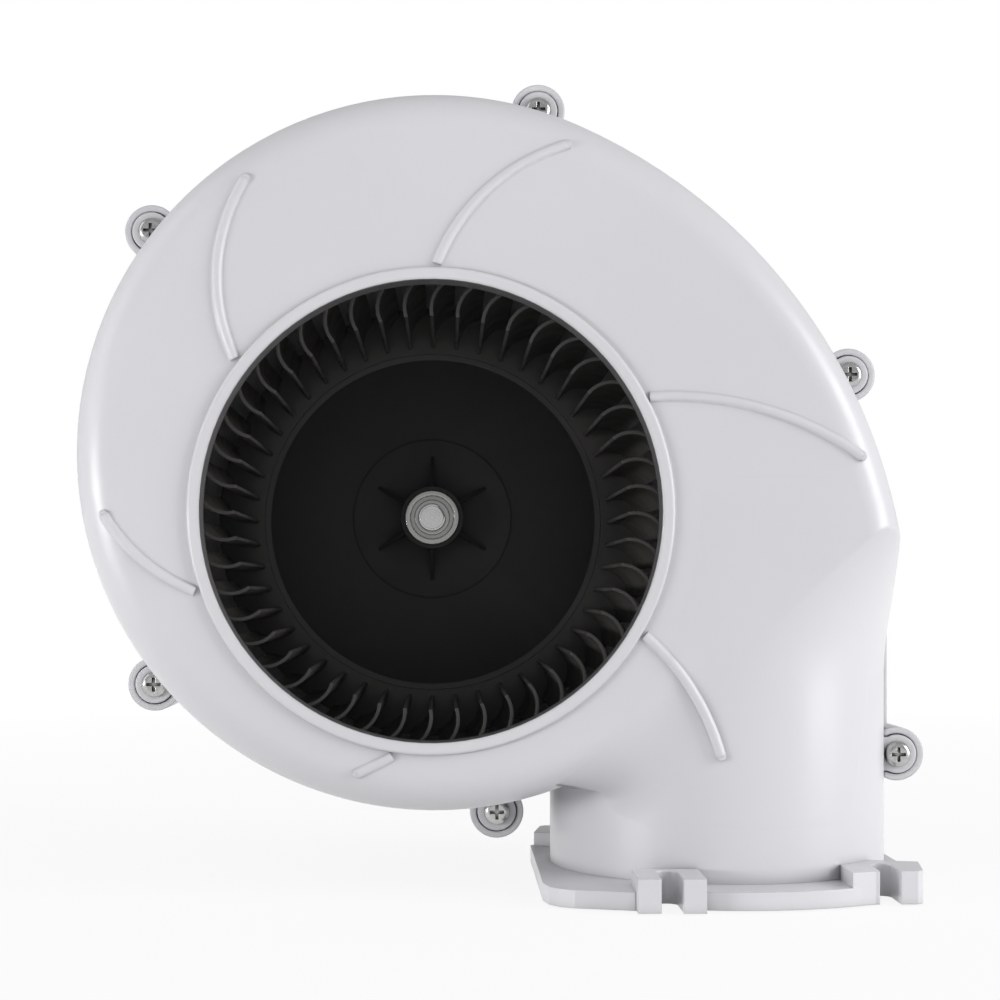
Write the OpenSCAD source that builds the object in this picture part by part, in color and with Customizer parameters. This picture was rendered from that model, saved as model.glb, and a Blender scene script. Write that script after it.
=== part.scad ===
// Flange mount dc blower fan: two-shell scroll, forward-curved impeller, brushed motor.
// Millimetres, +Z up. The outlet duct axis is the Z axis, the mounting face is z = 0.
// The blower shaft runs along Y, the inlet looks towards -Y.

/* [Duct and flange] */
// Outside diameter of the outlet duct
duct_od = 100; // [90:0.2:120]
// Wall of the two shells
wall = 2.6; // [1.8:0.1:4]
// Thickness of the mounting plate
plate_t = 5; // [4:0.5:8]
// Step from the duct bore in to the smaller bore of the mounting plate
bore_step = 0.8; // [0.4:0.1:1.2]
// Half width of the mounting plate
plate_half = 54.5; // [52:0.5:60]
// Radius of the round part of the mounting plate
plate_r = 64.6; // [62:0.2:72]
// Depth of the groove that takes the duct end
groove_d = 1.5; // [1:0.25:3]
// Width of the screw slots
slot_w = 6; // [5:0.1:7]
// Sideways place of the radial slot
slot_x = -20.7; // [-26:0.5:-16]
// Inner end of the radial slot, distance from the duct axis line
slot_end = 55; // [54:0.5:60]
// Sideways place of the hooked slot
hook_x = 41.3; // [38:0.5:42]
// Inner end of the hooked slot
hook_end = 41; // [39:0.5:46]
// Height of the raised rims beside the slots
rim_h = 9.2; // [7:0.2:12]

/* [Scroll] */
// Shaft axis left of the duct axis
axis_dx = 85.8; // [80:0.2:95]
// Shaft axis height above the mounting face
axis_z = 108.8; // [100:0.2:120]
// Radius of the large spiral arc
arc_a = 101.2; // [96:0.5:106]
// Height of that arc's centre above the shaft axis
arc_a_up = 16.9; // [14:0.5:20]
// Sideways offset of that arc's centre from the shaft axis
arc_a_side = 0.9; // [0:0.1:2]
// Angle where the large arc hands over to the outlet arc
hand_over = 66.2; // [58:0.1:70]
// Radius of the outlet arc
arc_b = 156.4; // [150:0.5:170]
// Rounding of the face edge
edge_r = 11; // [7:0.5:13]
// Height where the outlet corner starts to flare out of the round duct
flare_z = 62; // [60:0.5:66]
// Radius of the flare's curve
flare_r = 70; // [60:1:80]
// Length of the flare
flare_l = 46; // [44:0.5:48]
// Height of the cutoff tongue's tip
tongue_z = 42; // [38:1:46]
// Height of the seam lip on the rear shell
lip_h = 2; // [1:0.25:4]
// Thickness of the seam lip
lip_t = 1.3; // [1:0.1:2]
// Gap between the lip and the front shell
lip_gap = 0.35; // [0.3:0.05:0.6]

/* [Inlet] */
// Radius of the inlet hole
inlet_r = 64.4; // [60:0.2:66]
// Outside radius of the inlet lip
inlet_lip_r = 67.8; // [67:0.1:70]
// How far the lip stands out of the face
inlet_lip_h = 1.6; // [1:0.1:3]
// Depth of the inlet wall from the lip inwards
inlet_deep = 10.5; // [8:0.5:12]
// Wall of the inlet ring inside the shell
inlet_wall = 2.4; // [1.8:0.1:3]
// Radius of the ridge section of the face ribs
rib_r = 1.5; // [1:0.1:2]
// How far a rib stands out of the face
rib_h = 1.1; // [0.6:0.1:1.5]

/* [Lugs and case screws] */
// Radius of the front shell's ears
ear_r = 5.8; // [5:0.1:7]
// Height of the front ears above the seam
ear_h = 5; // [4:0.5:8]
// Height of the rear lug's rim above the seam
lug_rim = 4.2; // [3:0.1:5]
// Wall of the rear lug round the ear
lug_wall = 1.9; // [1.5:0.1:3]
// Depth of the rear lugs behind the seam
lug_deep = 14; // [10:1:20]
// Case screw thread radius
case_thread_r = 2; // [1.5:0.25:2.5]
// Case screw head radius
case_head_r = 3.9; // [3.5:0.1:4.5]
// Case screw head height
case_head_h = 2.4; // [2:0.1:3]
// Depth of the case screws below the head
case_screw_l = 14; // [10:1:16]

/* [Impeller] */
// Number of blades
blade_n = 48; // [36:1:60]
// Radial length of a blade, from its inner edge to the outside of the wheel
blade_span = 12.6; // [11:0.2:14]
// Radius of curvature of a blade
blade_curve = 9.2; // [8:0.2:11]
// Blade thickness
blade_t = 1; // [0.8:0.1:1.4]
// Outside radius of the impeller rings
fan_r = 68.6; // [66:0.2:70]
// Width of the front ring
fan_ring_w = 2.6; // [2:0.1:4]
// Front end of the impeller, distance in front of the seam
fan_front = 39; // [36:0.5:40]
// Back of the impeller, distance behind the seam
fan_back = 39; // [36:0.5:41]
// Thickness of the back plate and cone
fan_t = 2.6; // [2:0.1:4]
// Radius of the hub disc
hub_r = 24; // [22:0.5:28]
// Front of the hub disc behind the seam
hub_y = 6; // [4:0.5:10]
// Outside radius of the hub boss
boss_r = 9.4; // [9:0.1:12]
// Outside radius of the metal insert
insert_r = 8; // [7:0.1:8.4]
// Front face of the insert in front of the seam
insert_y = 3; // [1:0.5:5]
// Length of the insert
insert_l = 16; // [14:0.5:17]
// Outer radius of the six hub gussets
gusset_r = 19; // [16:0.5:22]
// Thickness of the hub gussets
gusset_t = 1; // [0.8:0.1:2]

/* [Motor] */
// Shaft radius
shaft_r = 4; // [3:0.25:4]
// Distance from the shaft centre to the flat
shaft_flat = 3.3; // [2.2:0.1:3.4]
// Length of the flat
flat_l = 21; // [20:0.5:22]
// Front tip of the shaft in front of the seam
shaft_y = 4.5; // [3:0.25:6]
// Outside radius of the motor can
can_r = 28.5; // [27:0.25:30]
// Wall of the motor can
can_t = 1.5; // [1:0.1:2]
// Front of the can behind the seam
can_y = 22; // [21:0.5:26]
// Length of the can
can_l = 72; // [66:1:78]
// Thickness of the front bell
bell_t = 4; // [3:0.5:6]
// Radius of the front bearing boss
bell_boss_r = 14; // [13:0.25:15]
// Bearing outside radius
bearing_r = 11; // [9.5:0.25:11]
// Bearing width
bearing_w = 7; // [5:0.5:7]
// Thickness of the rear cap
cap_t = 4; // [3:0.5:6]
// Armature radius
core_r = 19.5; // [18:0.25:20]
// Length of the can that the bearings, winding ends and commutator take beside the core
core_room = 40; // [38:0.5:44]
// Number of armature slots
core_slots = 12; // [8:1:16]
// Air gap to the magnets
air_gap = 0.8; // [0.5:0.1:1.2]
// Commutator radius
comm_r = 10; // [9:0.25:11]
// Commutator length
comm_l = 12; // [10:0.5:13]
// Number of commutator bars
comm_n = 12; // [8:1:16]
// Width of a brush round the shaft
brush_w = 7; // [5:0.5:8]
// Width of a brush along the shaft
brush_b = 6; // [5:0.5:7]
// Length of a brush
brush_l = 7; // [6:0.5:8]

/* [Motor mounting and cover] */
// Radius of the raised motor pad on the rear shell
pad_r = 66; // [63:0.5:70]
// How far the pad stands out of the rear face
pad_h = 0.6; // [0.4:0.1:1.5]
// Depth of the screw bosses inside the rear wall
boss_d = 5.6; // [4:0.2:6]
// Thickness of the rubber gasket
gasket_t = 2; // [1.5:0.25:3]
// Outside radius of gasket and mounting ring
mount_r = 44; // [43:0.25:46]
// Thickness of the mounting ring
mount_t = 2.5; // [2:0.25:4]
// Pitch radius of the motor mounting screws
mount_pcr = 37.5; // [36:0.25:39]
// Outside radius of the rear cover
cover_r = 48.5; // [47:0.25:50]
// Wall of the rear cover
cover_t = 2.4; // [2:0.1:3]
// Depth of the rear cover from the rear face
cover_l = 60; // [56:1:66]
// Rounding of the cover's rear edge
cover_edge = 9; // [6:0.5:12]
// Outside radius of the cover's flange
cover_flange_r = 59; // [57:0.5:62]
// Thickness of the cover's flange
cover_flange_t = 3; // [2.5:0.25:4]
// Pitch radius of the cover screws
cover_pcr = 54; // [53:0.25:56]
// Number of cooling slots in the cover's end
vent_n = 12; // [8:1:16]
// Width of a cooling slot
vent_w = 4.6; // [4.2:0.2:5]
// Radius of the hole through the cable gland
gland_r = 4.2; // [3:0.2:5]
// Rear view height of the gland behind the rear face
gland_y = 22; // [18:1:30]

/* [Clearances] */
// Running gap between shaft and bearing bores
run_gap = 0.03; // [0.02:0.01:0.08]
// Gap between seated parts of one body
seat_gap = 0.05; // [0.02:0.01:0.1]
// Gap round screws in clearance holes
screw_gap = 0.3; // [0.2:0.05:0.5]
// Gap between the rear shell and the motor can
can_gap = 1; // [0.6:0.1:1.5]

/* [Hidden] */
$fn = 96;
eps = 0.01;
big = 400;
duct_r = duct_od / 2;
face_h = duct_r + 0.3;
duct_in = duct_r - wall;
axis_x = -axis_dx;
ca_x = axis_x + arc_a_side;
ca_z = axis_z + arc_a_up;
cb_x = ca_x - (arc_b - arc_a) * cos(hand_over);
cb_z = ca_z - (arc_b - arc_a) * sin(hand_over);
duct_end = plate_t - groove_d;
// Inner radii of the two arc rings, inside the inlet hole and the motor pad
core_a = 30;
core_b = 75;
lug_r = ear_r + lip_gap + lug_wall;
// Lugs on the large arc: angle and distance outside the arc
lug_a = [[73.6, 8.6], [141.0, 8.6], [218.5, 6.6], [280.0, 5.8]];
// Lug on the outlet arc: angle and distance outside it
lug_b = [27.5, 9.0];
// Lug beside the duct: distance outside the wall and height
lug_c = [4.1, 37.6];
// Face ribs: arc centre from the shaft axis, radius, start and end angle
ribs = [
  [52.7, 49.1, 54.8, 158.9, 105.7],
  [-7.3, 64.8, 52.3, 205.4, 147.9],
  [-46.8, 26.2, 51.9, 248.9, 211.6],
  [-50.5, 1.3, 80, 299.8, 292],
  [14.8, -86.2, 68.3, 49.2, 15.3],
  [67.4, -58.8, 90.8, 94.2, 54.7]
];
lug_xy = concat(
  [for (l = lug_a) [ca_x + (arc_a + l[1]) * cos(l[0]), ca_z + (arc_a + l[1]) * sin(l[0]), l[0]]],
  [[cb_x + (arc_b + lug_b[1]) * cos(lug_b[0]), cb_z + (arc_b + lug_b[1]) * sin(lug_b[0]), lug_b[0]]],
  [[duct_r + lug_c[0], lug_c[1], 0]]);
// Top of the duct wall inside the scroll
duct_top = flare_z + 10;
// Height up to which the seam outline runs straight beside the duct
seam_top = flare_z + 18;
// The flare starts this far inside the duct wall, and reaches this far left of the duct axis
flare_dip = 0.4;
flare_x = 9;
core_l = can_l - core_room;
blade_in = fan_r - blade_span;
fan_mid = blade_in + 2;
back_r0 = blade_in - 4;
hub_rim_r = blade_in - 2;
cap_y = can_y + can_l;
core_y = can_y + 14;
comm_y = core_y + core_l + 8;
rear_brg_y = cap_y - 4;
brush_y = comm_y + comm_l / 2;
mag_in = core_r + air_gap;
mag_out = can_r - can_t - seat_gap;
rear_y = face_h + pad_h;
ring_y = rear_y + gasket_t;
shaft_back = cap_y + cap_t + 4;

// Puts a shape drawn in the face plane with height towards the viewer into place
module face() {
  rotate([90, 0, 0]) children();
}

// Same, centred on the shaft axis, height growing backwards from the seam
module spin_back() {
  translate([axis_x, 0, axis_z]) rotate([-90, 0, 0]) children();
}

// Ring or disc on the shaft axis from y0 to y1 behind the seam
module disc(r, y0, y1) {
  spin_back() translate([0, 0, y0]) cylinder(r = r, h = y1 - y0);
}

module edge_profile(r, h, e) {
  square([r - e, h]);
  square([r, h - e]);
  intersection() {
    translate([r - e, h - e]) circle(r = e);
    square([r, h]);
  }
}

// Ring section with a rounded outer edge, on the side s of the seam
module side_profile(r0, r, h, e, s) {
  mirror([0, s > 0 ? 0 : 1]) difference() {
    edge_profile(r, h, e);
    translate([-1, -1]) square([r0 + 1, h + 2]);
  }
}

// The parts of one half, g is the inset from the outside, s the side of the seam
// Frame on the hand-over line: origin at the large arc's centre, X along the line
module at_hand() {
  translate([ca_x, ca_z, 0]) rotate([0, 0, hand_over]) children();
}

module arc_a_solid(g, s) {
  at_hand() rotate_extrude(angle = 340 + g - hand_over) side_profile(core_a - g, arc_a - g, face_h - g, edge_r - g, s);
}

module arc_b_solid(g, s) {
  at_hand() translate([arc_a - arc_b, 0, 0]) mirror([0, 1, 0]) rotate_extrude(angle = hand_over + 6)
    side_profile(core_b - g, arc_b - g, face_h - g, edge_r - g, s);
}

module duct_half(r0, r1, z0, z1, s) {
  translate([0, z0, 0]) rotate([-90, 0, 0]) rotate([0, 0, s > 0 ? 180 : 0])
    rotate_extrude(angle = 180) translate([r0, 0]) square([r1 - r0, z1 - z0]);
}

// Trumpet that opens upwards out of the round duct
module flare(g) {
  translate([0, flare_z, 0]) rotate([-90, 0, 0]) rotate_extrude() difference() {
    square([duct_r + flare_r - 1, flare_l]);
    translate([duct_r - flare_dip + flare_r, 0]) circle(r = flare_r + g);
  }
}

// Outlet arc with its corner turned down to the round duct by the flare
module arc_b_cut(g, s) {
  difference() {
    arc_b_solid(g, s);
    translate([-big, flare_z + 6 - big, -big / 2]) cube([2 * big, big, big]);
    translate([-big - flare_x, flare_z + 18 - big, -big / 2]) cube(big);
    difference() {
      translate([-flare_x, flare_z - 5, -big / 2]) cube([big, flare_l + 4.5, big]);
      flare(g);
    }
  }
}

module half_shell(s) {
  difference() {
    arc_a_solid(0, s);
    arc_a_solid(wall, s);
    arc_b_cut(wall, s);
    duct_half(0, duct_in, -5, duct_top, s);
  }
  difference() {
    arc_b_cut(0, s);
    arc_b_cut(wall, s);
    duct_half(0, duct_in, -5, duct_top, s);
  }
  difference() {
    duct_half(duct_in, duct_r, duct_end, duct_top, s);
    arc_b_cut(wall, s);
    intersection() {
      arc_a_solid(wall, s);
      translate([-big, tongue_z, -big]) cube(2 * big);
    }
  }
}

// In the hand-over frame, the sector that belongs to the outlet arc
module hand_sector() {
  polygon([[arc_a - arc_b, 0], [big, 0], [big, -big], [arc_a - arc_b + big * cos(hand_over), -big * sin(hand_over)]]);
}

module outline(g) {
  translate([ca_x, ca_z]) rotate(hand_over) {
    difference() {
      circle(r = arc_a + g);
      hand_sector();
    }
    intersection() {
      translate([arc_a - arc_b, 0]) circle(r = arc_b + g);
      hand_sector();
    }
  }
  polygon([[ca_x, seam_top], [duct_r + g, seam_top], [duct_r + g, duct_end], [-duct_r - g, duct_end],
    [-duct_r - g, ca_z - arc_a + 10]]);
}

module ear2d(p, r) {
  translate([p[0], p[1]]) {
    circle(r = r);
    rotate(p[2]) translate([-14, -0.88 * r]) square([14, 1.76 * r]);
  }
}

module face_rib(q) {
  translate([axis_x + q[0], axis_z + q[1], face_h + rib_h - rib_r]) rotate([0, 0, q[4]]) {
    rotate_extrude(angle = q[3] - q[4]) translate([q[2], 0]) circle(r = rib_r);
    translate([q[2], 0, -1]) cylinder(r = rib_r * 0.85, h = rib_r + 0.7);
  }
}

module ears() {
  linear_extrude(ear_h) difference() {
    for (p = lug_xy) ear2d(p, ear_r);
    outline(-wall / 2);
  }
}

module front_housing() {
  color([0.83, 0.83, 0.85]) face() difference() {
    union() {
      half_shell(1);
      translate([axis_x, axis_z, face_h + inlet_lip_h - inlet_deep]) cylinder(r = inlet_r + inlet_wall, h = inlet_deep - wall);
      translate([axis_x, axis_z, face_h - wall]) rotate_extrude() edge_profile(inlet_lip_r, wall + inlet_lip_h, 0.8);
      intersection() {
        union() for (q = ribs) face_rib(q);
        translate([-big, 0, face_h - wall / 2]) cube([2 * big, big, 20]);
      }
      ears();
    }
    translate([axis_x, axis_z, 0]) cylinder(r = inlet_r, h = big);
    for (p = lug_xy) translate([p[0], p[1], -1]) cylinder(r = case_thread_r + screw_gap, h = ear_h + 2);
  }
}

module rear_bosses() {
  for (a = [0:90:270]) translate([axis_x, axis_z, wall / 2 - rear_y]) {
    rotate([0, 0, a]) translate([mount_pcr, 0, 0]) cylinder(r = 4.6, h = boss_d + wall);
    rotate([0, 0, a + 45]) translate([cover_pcr, 0, 0]) cylinder(r = 4, h = boss_d + wall);
  }
}

module rear_housing() {
  color([0.83, 0.83, 0.85]) face() difference() {
    union() {
      half_shell(-1);
      translate([axis_x, axis_z, -rear_y]) cylinder(r = pad_r, h = pad_h + wall + 0.6);
      rear_bosses();
      translate([0, 0, -5]) linear_extrude(5) lip2d(-wall / 2);
      translate([0, 0, -lug_deep]) linear_extrude(lug_deep) difference() {
        for (p = lug_xy) ear2d(p, lug_r);
        outline(-wall / 2);
      }
      linear_extrude(lip_h) lip2d(lip_gap);
      linear_extrude(lug_rim) difference() {
        for (p = lug_xy) ear2d(p, lug_r);
        for (p = lug_xy) ear2d(p, ear_r + lip_gap);
        outline(lip_gap);
      }
    }
    linear_extrude(lug_rim + 1) for (p = lug_xy) ear2d(p, ear_r + lip_gap);
    translate([axis_x, axis_z, -big]) cylinder(r = can_r + can_gap, h = big);
    for (p = lug_xy) translate([p[0], p[1], ear_h - case_screw_l]) cylinder(r = case_thread_r, h = big);
    for (a = [0:90:270]) translate([axis_x, axis_z, -rear_y - 1]) {
      rotate([0, 0, a]) translate([mount_pcr, 0, 0]) cylinder(r = 2, h = 14);
      rotate([0, 0, a + 45]) translate([cover_pcr, 0, 0]) cylinder(r = 1.75, h = 14);
    }
  }
}

module lip2d(g) {
  difference() {
    outline(lip_gap + lip_t);
    outline(g);
    translate([-60, -10]) square([big, lug_c[1] + 10]);
  }
}

module slot_cut(x, y_end) {
  translate([x, -y_end]) circle(d = slot_w);
  translate([x - slot_w / 2, -big]) square([slot_w, big - y_end]);
}

module plate_half2d() {
  intersection() {
    circle(r = plate_r);
    translate([-plate_half, -big]) square([2 * plate_half, big]);
  }
  polygon([[-plate_half, 0], [-plate_half, -46], [-53.2, -53.5], [-50.6, -57.6], [-46.4, -60], [-30.4, -64.4], [0, -50], [0, 0]]);
  translate([slot_x - 9.4, -69]) square([18.6, 20]);
  polygon([[30, -30], [30, -57], [37.2, -53.6], [48.9, -53.2], [50.7, -51.4], [52.2, -42], [plate_half, -28], [plate_half, 0]]);
}

module rim_half2d() {
  translate([slot_x - 9.4, -69]) square([18.6, 20]);
  polygon([[30, -38], [30, -57], [37.2, -53.6], [48.9, -53.2], [50.7, -51.4], [52.2, -42], [53.4, -34], [38, -30]]);
}

module outlet_flange() {
  color([0.84, 0.84, 0.86]) difference() {
    union() {
      linear_extrude(plate_t) for (a = [0, 180]) rotate(a) plate_half2d();
      linear_extrude(rim_h) for (a = [0, 180]) rotate(a) rim_half2d();
    }
    translate([0, 0, -1]) cylinder(r = duct_in - bore_step, h = big);
    translate([0, 0, duct_end]) cylinder(r = duct_r + seat_gap, h = big);
    for (a = [0, 180]) rotate(a) translate([0, 0, -1]) linear_extrude(big) {
      slot_cut(slot_x, slot_end);
      slot_cut(hook_x, hook_end);
    }
  }
}

module pan_screw(r, l, hr, hh) {
  translate([0, 0, -l]) cylinder(r = r, h = l);
  difference() {
    rotate_extrude() edge_profile(hr, hh, hh * 0.7);
    for (a = [0, 90]) rotate([0, 0, a]) translate([-hr * 0.55, -hr * 0.12, hh * 0.45]) cube([hr * 1.1, hr * 0.24, hh]);
  }
}

module housing_screws() {
  color([0.7, 0.7, 0.72]) face() for (p = lug_xy)
    translate([p[0], p[1], ear_h]) pan_screw(case_thread_r - seat_gap, case_screw_l - 0.5, case_head_r, case_head_h);
}

// One blade: an arc bending forward from the inner edge
module blade2d() {
  translate([fan_mid, -blade_curve]) intersection() {
    difference() {
      circle(r = blade_curve + blade_t / 2);
      circle(r = blade_curve - blade_t / 2);
    }
    polygon([[0, 0], [30 * cos(16), 30 * sin(16)], [30, 30], [30 * cos(103), 30 * sin(103)]]);
  }
}

// Blade cage: the blades between the front ring and the flat back ring
module impeller() {
  color([0.12, 0.12, 0.12]) spin_back() {
    translate([0, 0, -fan_front]) linear_extrude(fan_front + fan_back - fan_t / 2)
      for (i = [0:blade_n - 1]) rotate(i * 360 / blade_n) mirror([0, 1]) blade2d();
    translate([0, 0, -fan_front]) difference() {
      cylinder(r = fan_r, h = fan_ring_w);
      translate([0, 0, -1]) cylinder(r = fan_r - 2.6, h = fan_ring_w + 2);
    }
    translate([0, 0, fan_back - fan_t]) difference() {
      cylinder(r = fan_r, h = fan_t);
      translate([0, 0, -1]) cylinder(r = hub_rim_r, h = fan_t + 2);
    }
  }
}

// Dished disc with the boss, from the shaft out to the blade cage
module hub_disc() {
  spin_back() {
    rotate_extrude() polygon([[boss_r - 1, hub_y], [hub_r, hub_y], [back_r0, fan_back - fan_t],
      [hub_rim_r - seat_gap, fan_back - fan_t], [hub_rim_r - seat_gap, fan_back], [back_r0 - 1.2, fan_back],
      [hub_r - 1.2, hub_y + fan_t], [boss_r - 1, hub_y + fan_t]]);
    difference() {
      translate([0, 0, -insert_y + 0.6]) cylinder(r = boss_r, h = insert_l - 0.6);
      translate([0, 0, -big / 2]) cylinder(r = insert_r, h = big);
    }
    for (a = [30:60:330]) rotate([0, 0, a]) rotate([90, 0, 0]) linear_extrude(gusset_t, center = true)
      polygon([[boss_r - 0.6, hub_y + 1], [gusset_r, hub_y + 1], [gusset_r, hub_y], [boss_r - 0.6, -insert_y + 2]]);
  }
}

module impeller_hub() {
  color([0.12, 0.12, 0.12]) difference() {
    hub_disc();
    disc(insert_r, -insert_y - 5, insert_l + 5);
  }
}

module d_shape(r, f) {
  intersection() {
    circle(r = r);
    translate([-2 * r, -2 * r]) square([2 * r + f, 4 * r]);
  }
}

module hub_insert() {
  color([0.75, 0.75, 0.74]) spin_back() translate([0, 0, -insert_y]) difference() {
    rotate_extrude() {
      square([insert_r, insert_l - 1]);
      square([insert_r - 0.8, insert_l]);
    }
    translate([0, 0, -1]) linear_extrude(insert_l + 2) rotate(-31) d_shape(shaft_r + seat_gap, shaft_flat + seat_gap);
    difference() {
      translate([0, 0, -1]) cylinder(r = insert_r - 1.4, h = 1.6);
      translate([0, 0, -2]) cylinder(r = shaft_r + 1.2, h = 4);
    }
  }
}

module motor_shaft() {
  color([0.78, 0.78, 0.8]) spin_back() difference() {
    union() {
      translate([0, 0, -shaft_y + 0.6]) cylinder(r = shaft_r, h = shaft_back + shaft_y - 1.2);
      translate([0, 0, -shaft_y]) cylinder(r = shaft_r - 0.6, h = shaft_back + shaft_y);
    }
    rotate([0, 0, -31]) translate([shaft_flat, -10, -shaft_y - 1]) cube([10, 20, flat_l + 1]);
    translate([0, 0, insert_l - insert_y + 0.1]) difference() {
      cylinder(r = shaft_r + 1, h = 1.1);
      cylinder(r = shaft_r - 0.4, h = 1.1);
    }
  }
}

module shaft_circlip() {
  color([0.35, 0.35, 0.37]) spin_back() translate([0, 0, insert_l - insert_y + 0.15]) linear_extrude(1) difference() {
    circle(r = shaft_r + 2);
    circle(r = shaft_r - 0.4 + seat_gap);
    rotate(60) translate([0, -2.5]) square([20, 5]);
  }
}

module armature_core() {
  color([0.45, 0.45, 0.47]) spin_back() translate([0, 0, core_y]) linear_extrude(core_l) difference() {
    circle(r = core_r);
    circle(r = shaft_r + seat_gap);
    for (i = [0:core_slots - 1]) rotate(i * 360 / core_slots) {
      translate([core_r * 0.72, 0]) circle(r = core_r * 0.13);
      translate([core_r * 0.72, -0.9]) square([core_r, 1.8]);
    }
  }
}

module armature_windings() {
  slot_r = core_r * 0.13 - seat_gap;
  color([0.72, 0.42, 0.2]) spin_back() {
    for (i = [0:core_slots - 1]) rotate([0, 0, i * 360 / core_slots])
      translate([core_r * 0.72, 0, core_y - 3]) cylinder(r = slot_r, h = core_l + 6);
    for (z = [core_y - 6.5, core_y + core_l + 0.5]) translate([0, 0, z]) rotate_extrude() difference() {
      translate([core_r * 0.64, 3]) scale(3) scale([1, 1]) circle(r = 1);
      translate([-1, -1]) square([shaft_r + 2, 20]);
    }
  }
}

module commutator() {
  color([0.75, 0.47, 0.25]) spin_back() translate([0, 0, comm_y]) difference() {
    union() {
      cylinder(r = comm_r, h = comm_l);
      translate([0, 0, -1.2]) cylinder(r = comm_r + 1.2, h = 1.2);
    }
    translate([0, 0, -3]) cylinder(r = shaft_r + seat_gap, h = comm_l + 4);
    for (i = [0:comm_n - 1]) rotate([0, 0, i * 360 / comm_n])
      translate([comm_r - 0.8, -0.35, -3]) cube([3, 0.7, comm_l + 4]);
  }
}

module motor_can() {
  color([0.3, 0.3, 0.32]) spin_back() translate([0, 0, can_y]) difference() {
    cylinder(r = can_r, h = can_l);
    translate([0, 0, -1]) cylinder(r = can_r - can_t, h = can_l + 2);
  }
}

module motor_front_bell() {
  bore = bearing_r + seat_gap;
  color([0.6, 0.6, 0.62]) spin_back() translate([0, 0, can_y]) difference() {
    union() {
      translate([0, 0, -bell_t]) rotate_extrude() edge_profile(can_r - 0.2, bell_t, 0.01);
      cylinder(r = can_r - can_t - seat_gap, h = 3);
      translate([0, 0, -bell_t - 1.5]) cylinder(r = bell_boss_r, h = bearing_w + 5);
    }
    translate([0, 0, -bell_t]) cylinder(r = bore, h = bearing_w + 10);
    translate([0, 0, -bell_t - 5]) cylinder(r = bearing_r - 2.5, h = 20);
    for (a = [0:60:300]) rotate([0, 0, a]) translate([20.5, 0, -bell_t - 1]) cylinder(r = 2.6, h = 12);
  }
}

module ball_bearing(y) {
  spin_back() translate([0, 0, y]) rotate_extrude() difference() {
    translate([shaft_r + run_gap, 0]) square([bearing_r - shaft_r - run_gap, bearing_w]);
    translate([shaft_r + 1.8, -1]) square([bearing_r - shaft_r - 3.6, 1.4]);
    translate([shaft_r + 1.8, bearing_w - 0.4]) square([bearing_r - shaft_r - 3.6, 2]);
  }
}

module front_bearing() {
  color([0.7, 0.7, 0.72]) ball_bearing(can_y - bell_t + seat_gap);
}

module motor_rear_cap() {
  color([0.6, 0.6, 0.62]) spin_back() translate([0, 0, cap_y]) difference() {
    union() {
      cylinder(r = can_r - 0.2, h = cap_t);
      translate([0, 0, -3]) cylinder(r = can_r - can_t - seat_gap, h = 3);
      translate([0, 0, -4]) cylinder(r = bell_boss_r, h = cap_t + 7);
    }
    translate([0, 0, -5]) cylinder(r = bearing_r + seat_gap, h = bearing_w + 1 + seat_gap);
    translate([0, 0, -5]) cylinder(r = bearing_r - 2.5, h = cap_t + 8);
    for (a = [0:90:270]) rotate([0, 0, a + 45]) translate([21, 0, -4]) cylinder(r = 3, h = 12);
  }
}

module rear_bearing() {
  color([0.7, 0.7, 0.72]) ball_bearing(rear_brg_y);
}

module stator_magnets() {
  color([0.25, 0.25, 0.26]) spin_back() translate([0, 0, core_y - 2]) for (a = [0, 180]) rotate([0, 0, a - 65])
    rotate_extrude(angle = 130) translate([mag_in, 0]) square([mag_out - mag_in, core_l + 4]);
}

module at_brush() {
  spin_back() for (a = [0, 180]) rotate([0, 0, a]) translate([0, 0, brush_y]) children();
}

module brush_holders() {
  r0 = comm_r + 1.6;
  r1 = can_r - can_t - seat_gap;
  color([0.62, 0.5, 0.3]) at_brush() difference() {
    intersection() {
      translate([r0, -brush_w / 2 - 1.2, -brush_b / 2 - 1.2]) cube([r1, brush_w + 2.4, brush_b + 2.4]);
      translate([0, 0, -20]) cylinder(r = r1, h = 40);
    }
    translate([r0 - 1, -brush_w / 2 - seat_gap, -brush_b / 2 - seat_gap])
      cube([r1 - r0 - 0.6, brush_w + 2 * seat_gap, brush_b + 2 * seat_gap]);
  }
}

module carbon_brushes() {
  color([0.18, 0.18, 0.18]) at_brush() difference() {
    translate([comm_r - 1, -brush_w / 2, -brush_b / 2]) cube([brush_l + 1, brush_w, brush_b]);
    translate([0, 0, -20]) cylinder(r = comm_r + run_gap, h = 40);
  }
}

module brush_springs() {
  r0 = comm_r + brush_l + 0.25;
  r1 = can_r - can_t - seat_gap - 1.6;
  color([0.7, 0.7, 0.7]) at_brush() translate([r0, 0, 0]) rotate([0, 90, 0])
    linear_extrude(r1 - r0 - 0.3, twist = 1440, slices = 48, $fn = 8) translate([2, 0]) circle(r = 0.5);
}

module ring_holes(r) {
  for (a = [0:90:270]) rotate(a) translate([mount_pcr, 0]) circle(r = r);
}

module motor_mount_ring() {
  color([0.55, 0.56, 0.58]) spin_back() translate([0, 0, ring_y]) linear_extrude(mount_t) difference() {
    circle(r = mount_r);
    circle(r = can_r + seat_gap);
    ring_holes(2 + screw_gap);
  }
}

module motor_gasket() {
  color([0.1, 0.1, 0.1]) spin_back() translate([0, 0, rear_y]) linear_extrude(gasket_t) difference() {
    circle(r = mount_r - 0.5);
    circle(r = can_r + seat_gap);
    ring_holes(2 + screw_gap);
  }
}

module motor_mount_screws() {
  color([0.7, 0.7, 0.72]) spin_back() for (a = [0:90:270]) rotate([0, 0, a])
    translate([mount_pcr, 0, ring_y + mount_t]) pan_screw(2 - seat_gap, mount_t + gasket_t + 7, 3.6, 2.4);
}

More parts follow.
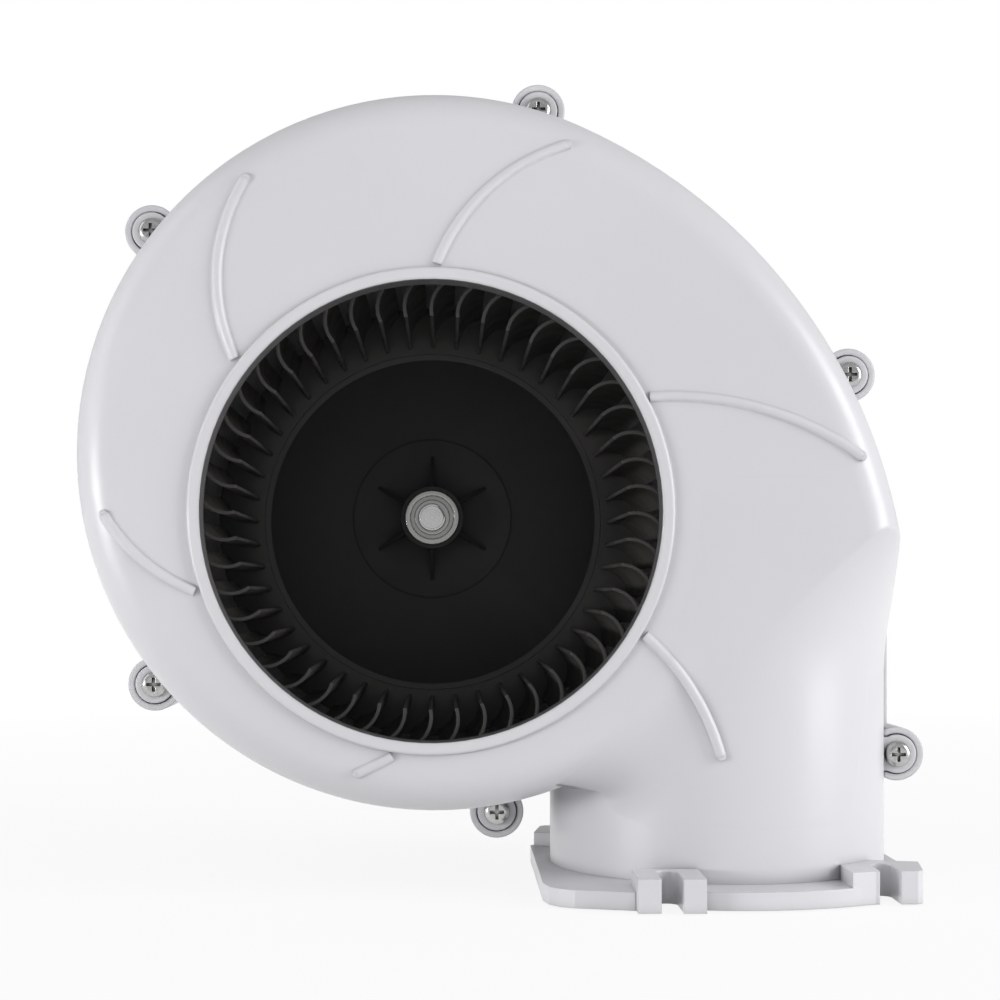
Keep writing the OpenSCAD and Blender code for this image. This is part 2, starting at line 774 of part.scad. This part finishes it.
module motor_cover() {
  color([0.83, 0.83, 0.85]) spin_back() translate([0, 0, rear_y]) difference() {
    union() {
      rotate_extrude() edge_profile(cover_r, cover_l, cover_edge);
      cylinder(r = cover_flange_r, h = cover_flange_t);
    }
    translate([0, 0, -1]) rotate_extrude() edge_profile(cover_r - cover_t, cover_l - cover_t + 1, cover_edge - cover_t);
    for (a = [0:90:270]) rotate([0, 0, a + 45]) translate([cover_pcr, 0, -1]) cylinder(r = 1.75 + screw_gap, h = 20);
    for (i = [0:vent_n - 1]) rotate([0, 0, (i + 0.5) * 360 / vent_n]) translate([16, -vent_w / 2, cover_l - cover_t - 1])
      cube([18, vent_w, 10]);
    translate([0, 0, gland_y]) rotate([-90, 0, 0]) cylinder(r = gland_r + 2.6, h = big);
  }
}

module cover_screws() {
  color([0.7, 0.7, 0.72]) spin_back() for (a = [0:90:270]) rotate([0, 0, a + 45])
    translate([cover_pcr, 0, rear_y + cover_flange_t]) pan_screw(1.75 - seat_gap, cover_flange_t + 7, 3.2, 2.2);
}

module cable_gland() {
  color([0.12, 0.12, 0.12]) spin_back() translate([0, 0, rear_y + gland_y]) rotate([-90, 0, 0]) difference() {
    union() {
      translate([0, 0, cover_r - cover_t - 3]) cylinder(r = gland_r + 2.6 - seat_gap, h = cover_t + 6);
      translate([0, 0, cover_r + 0.1]) cylinder(r = gland_r + 4.4, h = 3);
      translate([0, 0, cover_r - cover_t - 4.6]) cylinder(r = gland_r + 4.4, h = 2);
    }
    cylinder(r = gland_r, h = big);
  }
}

front_housing();
rear_housing();
outlet_flange();
housing_screws();
impeller();
impeller_hub();
hub_insert();
motor_shaft();
shaft_circlip();
armature_core();
armature_windings();
commutator();
motor_can();
motor_front_bell();
motor_rear_cap();
front_bearing();
rear_bearing();
stator_magnets();
brush_holders();
carbon_brushes();
brush_springs();
motor_mount_ring();
motor_gasket();
motor_mount_screws();
motor_cover();
cover_screws();
cable_gland();
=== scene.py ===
import math

import bmesh
import bpy
import numpy as np
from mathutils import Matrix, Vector


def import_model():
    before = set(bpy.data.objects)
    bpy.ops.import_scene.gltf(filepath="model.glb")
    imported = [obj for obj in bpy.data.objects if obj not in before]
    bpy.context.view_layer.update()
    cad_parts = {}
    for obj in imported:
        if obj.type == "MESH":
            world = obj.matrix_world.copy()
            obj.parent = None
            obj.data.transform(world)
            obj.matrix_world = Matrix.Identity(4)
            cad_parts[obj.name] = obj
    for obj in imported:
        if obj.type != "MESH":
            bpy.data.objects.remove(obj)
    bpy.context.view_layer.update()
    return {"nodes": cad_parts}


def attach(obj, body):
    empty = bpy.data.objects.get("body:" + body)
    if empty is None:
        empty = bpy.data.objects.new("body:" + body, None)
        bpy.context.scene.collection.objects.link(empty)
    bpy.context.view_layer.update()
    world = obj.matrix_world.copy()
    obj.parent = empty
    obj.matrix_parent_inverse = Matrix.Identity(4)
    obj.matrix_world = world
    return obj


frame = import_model()
N = frame["nodes"]
scene = bpy.context.scene

# Camera, in metres and millimetres of lens, as solved from the photograph
CAMERA_AT = (-0.0819, -0.6000, 0.0869)
LENS, SENSOR = 71.2, 36.0
SHIFT_X, SHIFT_Y = 0.055, 0.090

# Housing, in mm, as its solids have it. Places count from the duct's axis and the flange's lower face.
# The scroll and the outlet corner are two arcs. The flare is the trumpet that leads into the round duct
SHAFT_X, SHAFT_Z = -85.8, 108.8
SCROLL_X, SCROLL_Z, SCROLL_R = -84.9, 125.7, 101.2
CORNER_X, CORNER_Z, CORNER_R = -107.18, 75.19, 156.4
FACE_Y, RIM_TURN = 50.3, 11.0
DUCT_R, DUCT_TOP = 50.0, 72.0
FLARE_Z, FLARE_TOP, FLARE_R, FLARE_DIP = 62.0, 107.5, 70.0, 0.4
CORNER_FOOT, CUTOFF_X, CUTOFF_Z = 68.0, -9.0, 80.0
EYE_R = 64.4

# Soft skin over the corner of scroll and duct, in mm. Its grid turns about the upright line x = SPIN_X, y = 0
SPIN_X = 12.0
TURN_FROM, TURN_TO, TURN_STEP = math.radians(4), math.radians(147.5), math.radians(0.6)
RISE_FROM, RISE_TO, RISE_STEP = 14.0, 124.0, 0.8
# Its height over the solids, the same before it is smoothed, its depth under them at its border, its wall
PROUD, FIRST_PROUD, SUNK, WALL = 0.06, 0.45, 0.14, 1.0
ROUNDS, PACE = 220, 0.24
# It keeps EYE_CLEAR from the shaft's axis. Where softness is under BORDER, steps over STEEP are left out
EYE_CLEAR, STEEP, BORDER = 71.5, 2.0, 0.06

# Where the skin fades out: degrees about the spin line, heights, and distances from the shaft's axis
RIGHT_FADE, LEFT_FADE = (5, 17), (128, 147)
RIGHT_FOOT, LEFT_FOOT, FOOT_TURN, FOOT_FADE = 60, 15, (42, 62), 9
TOP_FADE, EYE_FADE = (111, 121), (72.5, 81)

# The shaft's axis in metres, and tones
AX, AZ = SHAFT_X / 1000, SHAFT_Z / 1000
SHELL = (0.640, 0.633, 0.652)
FOOT = (0.665, 0.658, 0.678)
# Near-black painted shade for the inner wall of the eye.
THROAT_SHADE = (0.055, 0.050, 0.047)
# Paler tone painted on the hub's dish as painted light, lifting it where it lies in shade.
DISH_PAINTED_LIGHT = (0.120, 0.118, 0.116)
INSERT = (0.40, 0.40, 0.385)
STEEL = (0.52, 0.52, 0.51)
BLACK, WHITE = (0.0, 0.0, 0.0), (1.0, 1.0, 1.0)
EVEN = (1, 1, 1)


class Tree:
    """A node tree with a few shorthands."""

    def __init__(self, owner):
        owner.use_nodes = True
        self.tree = owner.node_tree
        self.tree.nodes.clear()

    def put(self, value, socket):
        """Links value to the socket if it is an output, and sets it there otherwise."""
        if isinstance(value, bpy.types.NodeSocket):
            self.tree.links.new(value, socket)
        else:
            socket.default_value = value

    def add(self, kind, inputs, **settings):
        """A new node of a kind, with its inputs by name or number."""
        node = self.tree.nodes.new("ShaderNode" + kind)
        for key, value in settings.items():
            setattr(node, key, value)
        for key, value in inputs.items():
            self.put(value, node.inputs[key])
        return node

    def span(self, value, low, high, start=0.0, end=1.0):
        """Goes from low to high while value goes from start to end."""
        return self.add("MapRange", {"Value": value, "From Min": start, "From Max": end,
                                     "To Min": low, "To Max": high}).outputs[0]

    def times(self, a, b):
        return self.add("Math", {0: a, 1: b}, operation="MULTIPLY").outputs[0]


class Mat(Tree):
    """A material around one principled shader."""

    def __init__(self, name):
        self.material = bpy.data.materials.new(name)
        super().__init__(self.material)
        self.shader = self.add("BsdfPrincipled", {})
        self.add("OutputMaterial", {0: self.shader.outputs[0]})
        self.place = self.add("TexCoord", {}).outputs["Object"]

    def done(self, **sockets):
        """Fills the shader's sockets, where an underscore stands for a space, and gives the material."""
        for key, value in sockets.items():
            self.put(value, self.shader.inputs[key.replace("_", " ")])
        return self.material

    def stretched(self, scale):
        return self.add("Mapping", {"Scale": scale, "Vector": self.place}).outputs[0]

    def noise(self, scale, detail=3.0, rough=0.5, at=None):
        return self.add("TexNoise", {"Scale": scale, "Detail": detail, "Roughness": rough,
                                     "Vector": self.place if at is None else at}).outputs[0]

    def ramp(self, value, low, high, start=0.3, end=0.7):
        """Colour that goes from low to high while value goes from start to end."""
        node = self.add("ValToRGB", {0: value})
        first, last = node.color_ramp.elements
        first.position, first.color = start, (*low, 1)
        last.position, last.color = end, (*high, 1)
        return node.outputs[0]

    def mix(self, factor, a, b):
        """Colour a where factor is 0 and b where it is 1."""
        node = self.add("Mix", {}, data_type="RGBA")
        for name, value in (("Factor", factor), ("A", a), ("B", b)):
            socket = next(s for s in node.inputs if s.name == name and s.enabled)
            self.put((*value, 1) if isinstance(value, tuple) else value, socket)
        return next(s for s in node.outputs if s.enabled)

    def edges(self, radius, samples=4):
        """Rounded normal, and how far it turns within radius: 0 on flats, up to 1 on sharp edges."""
        bevel = self.add("Bevel", {"Radius": radius}, samples=samples).outputs[0]
        normal = self.add("NewGeometry", {}).outputs["Normal"]
        dot = self.add("VectorMath", {0: bevel, 1: normal}, operation="DOT_PRODUCT").outputs["Value"]
        return bevel, self.span(dot, 1.0, 0.0, 0.7, 0.995)

    def radius(self, y_weight=0.0):
        """Distance from the shaft's axis, in metres."""
        away = self.add("VectorMath", {0: self.place, 1: (AX, 0, AZ)}, operation="SUBTRACT").outputs[0]
        flat = self.add("VectorMath", {0: away, 1: (1, y_weight, 1)}, operation="MULTIPLY").outputs[0]
        return self.add("VectorMath", {0: flat}, operation="LENGTH").outputs["Value"]

    def depth(self):
        """Place along the shaft's axis, in metres."""
        return self.add("SeparateXYZ", {0: self.place}).outputs[1]

    def hollow(self, reach, low, high):
        """0 deep in a recess and 1 in the open, from the openness low and high within reach. It masks painted
        shade.
        """
        open_sky = self.add("AmbientOcclusion", {"Distance": reach}, samples=6).outputs["AO"]
        return self.span(open_sky, 0.0, 1.0, low, high)

    def bump(self, height, strength, distance, normal):
        return self.add("Bump", {"Strength": strength, "Distance": distance, "Height": height,
                                 "Normal": normal}).outputs[0]


def shade(tone, factor):
    return tuple(min(1.0, c * factor) for c in tone)


def gloss_shell(name, tone, edge, rough=0.33):
    """Glossy moulded plastic, paler on its edges, with painted shade that greys its corners and darkens the
    throat of the eye.
    """
    m = Mat(name)
    base = m.ramp(m.noise(9.0, 2.0), shade(tone, 0.978), shade(tone, 1.018), 0.35, 0.65)
    specks = m.ramp(m.noise(1500.0, 1.0), BLACK, WHITE, 0.66, 0.74)
    base = m.mix(m.times(specks, 0.05), base, shade(tone, 0.8))
    soft, turn = m.edges(edge, 6)
    base = m.mix(m.times(turn, 0.22), base, shade(tone, 1.12))
    # Painted shade: corners and recesses are greyed where ambient occlusion finds them closed in.
    base = m.mix(m.hollow(0.004, 0.25, 0.85), shade(tone, 0.66), base)
    # Painted shade: the inner wall of the eye, behind the lip and in front of the fan, is painted near black.
    eye_r = EYE_R / 1000
    within = m.span(m.radius(), 0.0, 0.85, eye_r + 0.0009, eye_r + 0.0004)
    behind_lip = m.span(m.depth(), 0.0, 1.0, -0.0520, -0.0505)
    before_fan = m.span(m.depth(), 0.0, 1.0, -0.030, -0.034)
    base = m.mix(m.times(within, m.times(behind_lip, before_fan)), base, THROAT_SHADE)
    return m.done(
        Base_Color=base,
        Roughness=m.span(m.noise(60.0, 3.0), rough - 0.05, rough + 0.06, 0.3, 0.7),
        IOR=1.49, Coat_Weight=0.12, Coat_Roughness=0.22,
        Normal=m.bump(m.noise(420.0, 3.0, 0.6), 0.05, 0.0002, soft))


def satin_black(name, tone, rough, gleam, rim, deep=None, dish=None):
    """Dusty black moulding. deep=(y0, y1) makes it paler from y0 to y1, as painted light deeper in the
    housing where shade falls. dish is a paler tone painted on a hub's dish outside its centre disc, as
    painted light that lifts the dish out of its shade; the painted edge highlight is then kept only near the
    centre disc.
    """
    m = Mat(name)
    base = m.ramp(m.noise(25.0, 4.0), shade(tone, 0.8), shade(tone, 1.3))
    if deep:
        # Painted light: paler towards the back of the housing, where shade falls on the part.
        base = m.mix(m.span(m.depth(), 0.0, 1.0, *deep), base, shade(tone, 1.9))
    soft, turn = m.edges(0.0005)
    # Painted highlight: edges are lifted towards a much paler tone.
    rim_highlight = m.times(turn, rim)
    if dish:
        # Painted light on the dish: outside the centre disc it is painted paler, and palest outwards, to lift
        # it where it lies in shade.
        outside = m.span(m.radius(), 0.0, 1.0, 0.0240, 0.0246)
        outwards = m.span(m.radius(), 0.0, 1.0, 0.024, 0.050)
        base = m.mix(outside, base, m.mix(outwards, shade(dish, 0.52), dish))
        # The painted edge highlight stays only near the centre disc, as a faint ring at its edge.
        rim_highlight = m.times(rim_highlight, m.span(m.radius(), 1.0, 0.05, 0.030, 0.034))
    base = m.mix(rim_highlight, base, shade(tone, 2.4))
    dust = m.ramp(m.noise(700.0, 2.0), BLACK, WHITE, 0.6, 0.75)
    return m.done(
        Base_Color=m.mix(m.times(dust, 0.10), base, shade(tone, 2.0)),
        Roughness=m.span(m.noise(90.0, 3.0), rough - 0.06, rough + 0.1, 0.3, 0.7),
        IOR=1.5, Specular_IOR_Level=gleam,
        Normal=m.bump(m.noise(900.0, 2.0), 0.12, 0.0002, soft))


def metal(name, tone, rough, turned=False, grain=1200.0, stretch=(1, 1, 0.02), edge=0.0003,
          recess_shade=0.0, rim=(0.4, 1.2)):
    """Bare metal with drawn grain, or with lathe rings about the shaft's axis, and a painted highlight on its
    edges. Recesses can be darkened with painted shade within a given reach.
    """
    m = Mat(name)
    if turned:
        rings = m.add("CombineXYZ", {0: m.radius(0.15)}).outputs[0]
        line = m.noise(2600.0, 2.0, 0.6, rings)
    else:
        line = m.noise(grain, 3.0, 0.6, m.stretched(stretch))
    base = m.ramp(line, shade(tone, 0.86), shade(tone, 1.08))
    stain = m.ramp(m.noise(220.0, 4.0), BLACK, WHITE, 0.5, 0.72)
    base = m.mix(m.times(stain, 0.18), base, shade(tone, 0.6))
    soft, turn = m.edges(edge)
    # Painted highlight: edges are lifted towards a paler tone.
    base = m.mix(m.times(turn, rim[0]), base, shade(tone, rim[1]))
    # Painted shade: recesses are darkened within the given reach.
    if recess_shade:
        base = m.mix(m.hollow(recess_shade, 0.35, 0.8), shade(tone, 0.12), base)
    return m.done(
        Base_Color=base, Metallic=1.0,
        Roughness=m.span(line, rough - 0.08, rough + 0.1, 0.3, 0.7),
        Normal=m.bump(line, 0.15, 0.0001, soft))


def dull(name, tone, rough, grain, strength=0.3):
    """Matt paint, rubber, carbon or ferrite."""
    m = Mat(name)
    base = m.ramp(m.noise(grain * 0.3, 5.0, 0.6), shade(tone, 0.75), shade(tone, 1.25))
    soft, turn = m.edges(0.0003)
    return m.done(
        Base_Color=m.mix(m.times(turn, 0.25), base, shade(tone, 1.7)),
        Roughness=m.span(m.noise(grain, 3.0), rough - 0.08, rough + 0.08, 0.3, 0.7),
        Normal=m.bump(m.noise(grain * 2, 3.0), strength, 0.0002, soft))


shell = gloss_shell("shell_grey", SHELL, 0.0010)
foot = gloss_shell("foot_grey", FOOT, 0.0005)
cover = gloss_shell("cover_grey", SHELL, 0.0012, 0.36)
fan_black = satin_black("fan_black", (0.052, 0.0500, 0.0475), 0.40, 0.24, rim=0.08, deep=(-0.040, -0.010))
hub_black = satin_black("hub_black", (0.0160, 0.0155, 0.0150), 0.48, 0.16, rim=1.0, dish=DISH_PAINTED_LIGHT)
insert = metal("insert_turned", INSERT, 0.25, turned=True, edge=0.0005, recess_shade=0.003, rim=(1.0, 2.3))
shaft = metal("shaft_ground", (0.66, 0.66, 0.65), 0.24, turned=True)
screw = metal("screw_steel", STEEL, 0.22, grain=900.0, stretch=EVEN, edge=0.0004, recess_shade=0.0016)
spring = metal("spring_steel", (0.32, 0.32, 0.33), 0.35)
core = metal("core_stack", (0.28, 0.28, 0.30), 0.45, stretch=(0.02, 6, 0.02))
copper = metal("copper", (0.72, 0.34, 0.17), 0.33, grain=1500.0, stretch=(1, 0.1, 1))
cast = metal("cast_alloy", (0.46, 0.46, 0.48), 0.42, grain=700.0, stretch=EVEN)
bearing = metal("bearing_steel", (0.58, 0.58, 0.60), 0.2, turned=True)
brass = metal("brass", (0.68, 0.50, 0.22), 0.3)
ring = metal("ring_alloy", (0.55, 0.56, 0.58), 0.33, stretch=(1, 1, 0.05))
can_paint = dull("can_paint", (0.035, 0.035, 0.038), 0.42, 300.0, 0.15)
ferrite = dull("ferrite", (0.045, 0.045, 0.048), 0.6, 700.0)
carbon = dull("carbon", (0.02, 0.02, 0.02), 0.55, 900.0)
rubber = dull("rubber", (0.02, 0.02, 0.02), 0.7, 600.0, 0.4)

LOOKS = {
    shell: ("front_housing", "rear_housing"),
    foot: ("outlet_flange",),
    cover: ("motor_cover",),
    fan_black: ("impeller",),
    hub_black: ("impeller_hub",),
    insert: ("hub_insert",),
    shaft: ("motor_shaft",),
    screw: ("housing_screws", "motor_mount_screws", "cover_screws"),
    spring: ("shaft_circlip", "brush_springs"),
    core: ("armature_core",),
    copper: ("armature_windings", "commutator"),
    can_paint: ("motor_can",),
    cast: ("motor_front_bell", "motor_rear_cap"),
    bearing: ("front_bearing", "rear_bearing"),
    ferrite: ("stator_magnets",),
    brass: ("brush_holders",),
    carbon: ("carbon_brushes",),
    ring: ("motor_mount_ring",),
    rubber: ("motor_gasket", "cable_gland"),
}
for material, nodes in LOOKS.items():
    for node in nodes:
        mesh = N[node].data
        mesh.materials.clear()
        mesh.materials.append(material)


def ease(start, end, value):
    """Goes softly from 0 to 1 while value goes from start to end."""
    t = np.clip((value - start) / (end - start), 0, 1)
    return t * t * (3 - 2 * t)


def rounded_face(r, edge):
    """Height of the flat face, rounded off towards its rim at radius edge, and 0 outside it."""
    q = np.clip(r - (edge - RIM_TURN), 0, RIM_TURN)
    return np.where(r < edge, FACE_Y - RIM_TURN + np.sqrt(RIM_TURN * RIM_TURN - q * q), 0.0)


def front_heights(x, z):
    """How far scroll, outlet corner and duct reach towards the inlet side at (x, z), in mm."""
    scroll = rounded_face(np.hypot(x - SCROLL_X, z - SCROLL_Z), SCROLL_R)
    corner = rounded_face(np.hypot(x - CORNER_X, z - CORNER_Z), CORNER_R)
    lift = np.clip(z - FLARE_Z, 0, FLARE_R - 0.1)
    mouth = DUCT_R - FLARE_DIP + FLARE_R - np.sqrt(FLARE_R * FLARE_R - lift * lift)
    flare = np.sqrt(np.clip(mouth * mouth - x * x, 0, None))
    corner = np.where(z < FLARE_TOP, np.minimum(corner, flare), corner)
    below = (z < CORNER_FOOT) | ((x < CUTOFF_X) & (z < CUTOFF_Z))
    corner = np.where(below, 0.0, corner)
    duct = np.where(z <= DUCT_TOP, np.sqrt(np.clip(DUCT_R * DUCT_R - x * x, 0, None)), 0.0)
    return np.maximum(np.maximum(scroll, corner), duct)


def reach(turn, z):
    """Distance from the spin line to the housing's outside in the direction turn, at height z."""
    start, end, step, halvings = 94.0, 8.0, 0.75, 14
    c, n = np.cos(turn), np.sin(turn)

    def inside(r):
        return r * n <= front_heights(SPIN_X + r * c, z)

    near = np.full(turn.shape, start + 1)
    far = near.copy()
    found = np.zeros(turn.shape, bool)
    for r in np.arange(start, end, -step):
        first = ~found & inside(np.full(turn.shape, r))
        near = np.where(first, r, near)
        far = np.where(first, r + step, far)
        found |= first
    for _ in range(halvings):
        middle = (near + far) / 2
        within = inside(middle)
        near = np.where(within, middle, near)
        far = np.where(within, far, middle)
    return near


def sample(grid, u, v):
    """Bilinear reading of grid at fractional places u, v."""
    u = np.clip(u, 0, grid.shape[0] - 1.001)
    v = np.clip(v, 0, grid.shape[1] - 1.001)
    i, j = u.astype(int), v.astype(int)
    fu, fv = u - i, v - j
    return ((grid[i, j] * (1 - fu) + grid[i + 1, j] * fu) * (1 - fv)
            + (grid[i, j + 1] * (1 - fu) + grid[i + 1, j + 1] * fu) * fv)


def corners(grid):
    """The grid's values at the four corners of each of its cells."""
    return np.stack([grid[:-1, :-1], grid[1:, :-1], grid[:-1, 1:], grid[1:, 1:]])


def softness(deg, z, axis_r):
    """1 where the form is rounded off freely, and 0 along the skin's border and near the eye."""
    foot_z = LEFT_FOOT + (RIGHT_FOOT - LEFT_FOOT) * (1 - ease(*FOOT_TURN, deg))
    return (ease(*RIGHT_FADE, deg) * (1 - ease(*LEFT_FADE, deg)) * ease(0, FOOT_FADE, z - foot_z)
            * (1 - ease(*TOP_FADE, z)) * ease(*EYE_FADE, axis_r))


def blend_grid():
    """Points of the soft form over scroll, outlet corner and duct, in mm, and the grid's cells in use."""
    turns = np.arange(TURN_FROM, TURN_TO, TURN_STEP)
    turn, z = np.meshgrid(turns, np.arange(RISE_FROM, RISE_TO, RISE_STEP), indexing="ij")
    base = reach(turn, z)
    axis_r = np.hypot(SPIN_X + base * np.cos(turn) - SHAFT_X, z - SHAFT_Z)
    soft = softness(np.degrees(turn), z, axis_r)
    sunk = SUNK * (1 - soft)
    least_proud = PROUD * soft - sunk
    rho = base + FIRST_PROUD * soft - sunk
    pts = np.stack([SPIN_X + rho * np.cos(turn), rho * np.sin(turn), z], axis=-1)
    for _ in range(ROUNDS):
        pull = np.zeros_like(pts)
        beside = pts[2:, 1:-1] + pts[:-2, 1:-1] + pts[1:-1, 2:] + pts[1:-1, :-2]
        pull[1:-1, 1:-1] = beside - 4 * pts[1:-1, 1:-1]
        pts = pts + PACE * soft[..., None] * pull
        dx = pts[..., 0] - SPIN_X
        u = (np.arctan2(pts[..., 1], dx) - turns[0]) / TURN_STEP
        v = (pts[..., 2] - RISE_FROM) / RISE_STEP
        least = sample(base, u, v) + sample(least_proud, u, v)
        grow = np.maximum(least / np.hypot(dx, pts[..., 1]), 1.0)
        pts[..., 0] = SPIN_X + dx * grow
        pts[..., 1] = pts[..., 1] * grow
    clear = corners(axis_r > EYE_CLEAR).all(axis=0)
    smooth = corners(soft >= BORDER).any(axis=0) | (np.ptp(corners(base), axis=0) < STEEP)
    return pts, clear & smooth


def blend_skin(name, pts, keep, side):
    """The soft form as a thin closed shell with sunk edges. side is -1 in front and 1 behind."""
    away = np.stack([pts[..., 0] - SPIN_X, pts[..., 1], np.zeros(pts.shape[:2])], axis=-1)
    away /= np.linalg.norm(away, axis=-1)[..., None]
    grids = {"top": pts, "low": pts - WALL * away}
    bm = bmesh.new()
    verts = {}

    def vert(layer, cell):
        if (layer, cell) not in verts:
            x, y, z = grids[layer][cell] / 1000
            verts[layer, cell] = bm.verts.new((x, side * y, z))
        return verts[layer, cell]

    rims = set()
    for i, j in np.argwhere(keep).tolist():
        loop = [(i, j), (i, j + 1), (i + 1, j + 1), (i + 1, j)]
        if side > 0:
            loop.reverse()
        bm.faces.new([vert("top", c) for c in loop]).smooth = True
        bm.faces.new([vert("low", c) for c in reversed(loop)])
        for a, b in zip(loop, loop[1:] + loop[:1]):
            if (b, a) in rims:
                rims.remove((b, a))
            else:
                rims.add((a, b))
    for a, b in sorted(rims):
        bm.faces.new([vert("top", b), vert("top", a), vert("low", a), vert("low", b)])
    mesh = bpy.data.meshes.new(name)
    bm.to_mesh(mesh)
    bm.free()
    o = bpy.data.objects.new(name, mesh)
    scene.collection.objects.link(o)
    mesh.materials.append(shell)
    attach(o, "housing")


points, cells = blend_grid()
blend_skin("blend_front", points, cells, -1)
blend_skin("blend_rear", points, cells, 1)


def camera():
    data = bpy.data.cameras.new("camera")
    data.lens, data.sensor_width = LENS, SENSOR
    data.shift_x, data.shift_y = SHIFT_X, SHIFT_Y
    data.clip_start = 0.01
    o = bpy.data.objects.new("camera", data)
    o.location = CAMERA_AT
    o.rotation_euler = (math.pi / 2, 0, 0)
    scene.collection.objects.link(o)
    scene.camera = o


def floor():
    """Pale round floor that keeps the part's shadow and fades to white away from it."""
    bm = bmesh.new()
    bmesh.ops.create_circle(bm, cap_ends=True, segments=96, radius=3.0)
    mesh = bpy.data.meshes.new("floor")
    bm.to_mesh(mesh)
    bm.free()
    o = bpy.data.objects.new("floor", mesh)
    o.location = (0, 0, -0.0005)
    scene.collection.objects.link(o)
    material = bpy.data.materials.new("floor_pale")
    t = Tree(material)
    place = t.add("TexCoord", {}).outputs["Object"]
    away = t.add("VectorMath", {0: place}, operation="LENGTH").outputs["Value"]
    rays = t.add("LightPath", {}).outputs
    seen = t.add("Math", {0: rays["Is Camera Ray"], 1: rays["Is Glossy Ray"]}, operation="MAXIMUM").outputs[0]
    matt = t.add("BsdfDiffuse", {0: (0.86, 0.86, 0.86, 1)}).outputs[0]
    white = t.add("Emission", {0: (1, 1, 1, 1), 1: 1.0}).outputs[0]
    whiter = t.times(seen, t.span(away, 0.88, 1.0, 0.12, 0.9))
    both = t.add("MixShader", {0: whiter, 1: matt, 2: white}).outputs[0]
    t.add("OutputMaterial", {0: both})
    mesh.materials.append(material)


def world():
    """Soft cool light from all sides, and plain white where the camera looks past the part."""
    w = bpy.data.worlds.new("world")
    scene.world = w
    t = Tree(w)
    light = t.add("Background", {0: (0.97, 0.985, 1.0, 1), 1: 0.50}).outputs[0]
    white = t.add("Background", {0: (1, 1, 1, 1), 1: 1.0}).outputs[0]
    seen = t.add("LightPath", {}).outputs["Is Camera Ray"]
    both = t.add("MixShader", {0: seen, 1: light, 2: white}).outputs[0]
    t.add("OutputWorld", {0: both})


def lamp(name, where, at, size, power, tint=(1, 1, 1)):
    """Rectangular lamp of size metres and power watts at where, turned towards at."""
    d = bpy.data.lights.new(name, "AREA")
    d.shape = "RECTANGLE"
    d.size, d.size_y = size
    d.energy = power
    d.color = tint
    o = bpy.data.objects.new(name, d)
    o.location = where
    o.rotation_euler = (Vector(at) - Vector(where)).to_track_quat("-Z", "Y").to_euler()
    scene.collection.objects.link(o)


MIDDLE, FOOT_OF_DUCT = (-0.05, 0, 0.11), (0, 0, 0.05)
camera()
floor()
world()
lamp("key_right", (0.95, -0.42, 0.30), MIDDLE, (0.5, 0.9), 10.3, (1.0, 0.99, 1.0))
lamp("side_left", (-1.0, -0.25, 0.60), MIDDLE, (0.5, 0.9), 1.6, (0.98, 0.99, 1.0))
lamp("low_left", (-0.95, -0.55, 0.04), FOOT_OF_DUCT, (0.4, 0.2), 5.8, (0.99, 0.99, 1.0))
lamp("front_top", (-0.1, -1.1, 1.0), MIDDLE, (1.0, 0.6), 0.3)

scene.view_settings.view_transform = "Standard"
